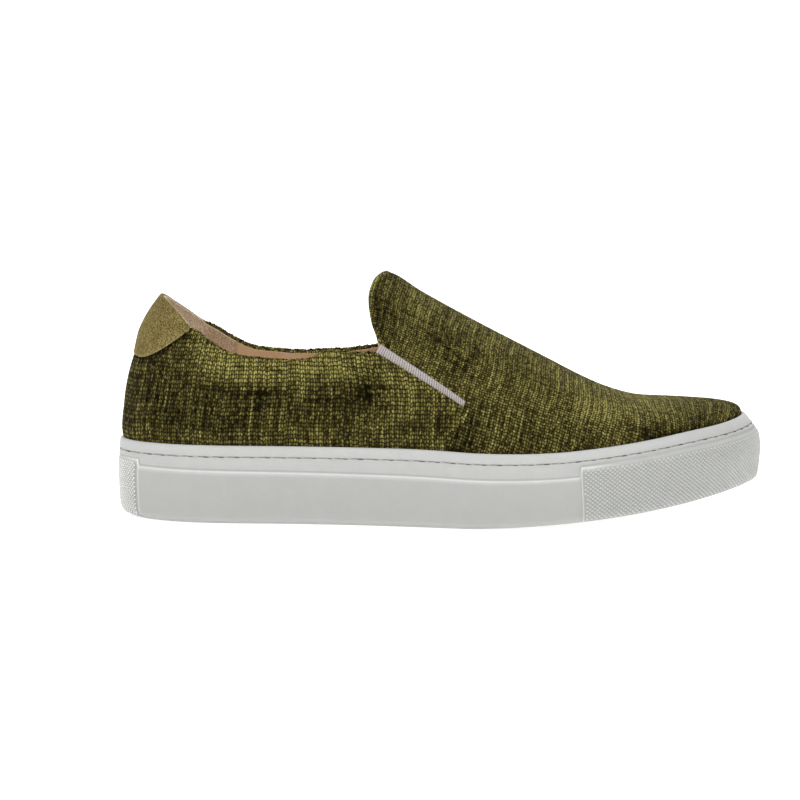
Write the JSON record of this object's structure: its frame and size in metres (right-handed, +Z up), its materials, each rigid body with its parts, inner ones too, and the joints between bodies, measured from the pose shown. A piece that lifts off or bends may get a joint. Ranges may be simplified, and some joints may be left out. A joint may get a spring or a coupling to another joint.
{
  "type": "slip-on shoe",
  "caption": "Low slip-on shoe with a woven upper, elastic side gores, a suede heel tab and a stitched white rubber cupsole.",
  "frame": {"origin": "centre of the bounding box, on the floor that the sole stands on", "axes": "+X from heel to toe, +Z up, -Y towards the outer side of the right foot"},
  "size_m": [0.2982, 0.1078, 0.1133],
  "materials": {
    "rubber": "matte white moulded rubber",
    "fabric": "heathered olive chunky weave",
    "suede": "khaki suede nap",
    "elastic": "pale ribbed elastic",
    "lining": "tan smooth leather"
  },
  "bodies": {
    "root": {"cupsole": "rubber", "upper": "fabric", "heel_tab": "suede", "gore_lateral": "elastic", "gore_medial": "elastic", "insole": "lining"}
  },
  "joints": []
}
